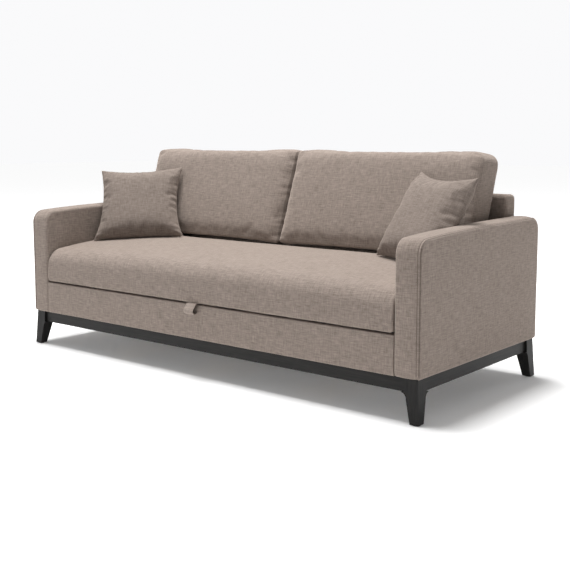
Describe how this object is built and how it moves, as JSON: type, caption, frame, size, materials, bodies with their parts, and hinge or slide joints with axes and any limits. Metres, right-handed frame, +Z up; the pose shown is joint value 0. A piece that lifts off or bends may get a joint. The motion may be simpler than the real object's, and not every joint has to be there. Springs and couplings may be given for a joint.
{
  "type": "storage sofa",
  "caption": "Upholstered storage sofa on a dark wooden plinth with splayed legs; the bench seat lifts as a lid over a box, with loose back cushions and scatter pillows",
  "frame": {"origin": "on the floor, under the middle of the overall box", "axes": "+X along the sofa to the viewer's right, +Y from front to back, +Z up"},
  "size_m": [2.05, 0.902, 0.8888],
  "materials": {
    "upholstery": "matte",
    "pillow_fabric": "matte",
    "dark_wood": "satin",
    "timber": "matte",
    "plywood": "matte",
    "foam": "matte",
    "webbing": "matte",
    "steel": "satin",
    "strut_tube": "satin",
    "strut_rod": "polished",
    "rubber": "matte",
    "nylon": "matte"
  },
  "bodies": {
    "base": {"left_arm_cover": "upholstery", "right_arm_cover": "upholstery", "fascia_cover": "upholstery", "back_cover": "upholstery", "deck_pad": "upholstery", "leg_front_left": "dark_wood", "leg_front_right": "dark_wood", "leg_rear_left": "dark_wood", "leg_rear_right": "dark_wood", "plinth_front_rail": "dark_wood", "plinth_rear_rail": "dark_wood", "plinth_left_rail": "dark_wood", "plinth_right_rail": "dark_wood", "corner_blocks": "timber", "floor_bearers": "timber", "left_arm_frame": "timber", "right_arm_frame": "timber", "back_frame": "timber", "deck_beams": "timber", "box_floor": "plywood", "box_front_panel": "plywood", "box_left_side": "plywood", "box_right_side": "plywood", "deck_board": "plywood", "back_webbing": "webbing", "leg_bolts": "steel", "arm_bolts": "steel", "hinge_arm_plates": "steel", "hinge_pins": "steel", "hinge_arm_screws": "steel", "strut_box_brackets": "steel", "lid_bumpers": "rubber", "foot_glides": "nylon", "hinge_washers": "nylon"},
    "seat_lid": {"lid_front_rail": "timber", "lid_rear_rail": "timber", "lid_left_rail": "timber", "lid_right_rail": "timber", "lid_slats": "timber", "lid_deck": "plywood", "seat_foam": "foam", "seat_cover": "upholstery", "pull_loop": "upholstery", "hinge_lid_plates": "steel", "hinge_lid_screws": "steel", "strut_lid_brackets": "steel"},
    "left_cylinder": {"left_strut_cylinder": "strut_tube"},
    "left_rod": {"left_strut_rod": "strut_rod"},
    "right_cylinder": {"right_strut_cylinder": "strut_tube"},
    "right_rod": {"right_strut_rod": "strut_rod"},
    "left_back_cushion": {"left_back_cushion_cover": "upholstery", "left_back_cushion_core": "foam"},
    "right_back_cushion": {"right_back_cushion_cover": "upholstery", "right_back_cushion_core": "foam"},
    "left_pillow": {"left_pillow_cover": "pillow_fabric", "left_pillow_insert": "foam"},
    "right_pillow": {"right_pillow_cover": "pillow_fabric", "right_pillow_insert": "foam"}
  },
  "joints": [
    {"name": "seat_lift", "type": "hinge", "parent": "base", "child": "seat_lid", "pos_m": [0, 0.101, 0.405], "axis": [-1, 0, 0], "range_deg": [0, 35]},
    {"name": "left_strut_swing", "type": "hinge", "parent": "base", "child": "left_cylinder", "pos_m": [-0.887, 0.191, 0.237], "axis": [-1, 0, 0], "range_deg": [0, 15.2]},
    {"name": "left_strut_stroke", "type": "slide", "parent": "left_cylinder", "child": "left_rod", "axis": [0, -0.9824, 0.1867], "range_m": [0, 0.0825]},
    {"name": "right_strut_swing", "type": "hinge", "parent": "base", "child": "right_cylinder", "pos_m": [0.887, 0.191, 0.237], "axis": [-1, 0, 0], "range_deg": [0, 15.2]},
    {"name": "right_strut_stroke", "type": "slide", "parent": "right_cylinder", "child": "right_rod", "axis": [0, -0.9824, 0.1867], "range_m": [0, 0.0825]},
    {"name": "left_pillow_ride", "type": "slide", "parent": "base", "child": "left_pillow", "axis": [0, 0.3338, 0.9426], "range_m": [0, 0.197]},
    {"name": "right_pillow_ride", "type": "slide", "parent": "base", "child": "right_pillow", "axis": [0, 0.3338, 0.9426], "range_m": [0, 0.197]},
    {"name": "left_back_cushion_lift", "type": "slide", "parent": "base", "child": "left_back_cushion", "axis": [0, 0.3338, 0.9426], "range_m": [0, 0.4]},
    {"name": "right_back_cushion_lift", "type": "slide", "parent": "base", "child": "right_back_cushion", "axis": [0, 0.3338, 0.9426], "range_m": [0, 0.4]}
  ],
  "couplings": [
    {"joint": "left_strut_swing", "follows": "seat_lift", "ratio": 0.434},
    {"joint": "left_strut_stroke", "follows": "seat_lift", "m_per_rad": 0.134},
    {"joint": "right_strut_swing", "follows": "seat_lift", "ratio": 0.434},
    {"joint": "right_strut_stroke", "follows": "seat_lift", "m_per_rad": 0.134},
    {"joint": "left_pillow_ride", "follows": "seat_lift", "m_per_rad": 0.32},
    {"joint": "right_pillow_ride", "follows": "seat_lift", "m_per_rad": 0.32}
  ]
}
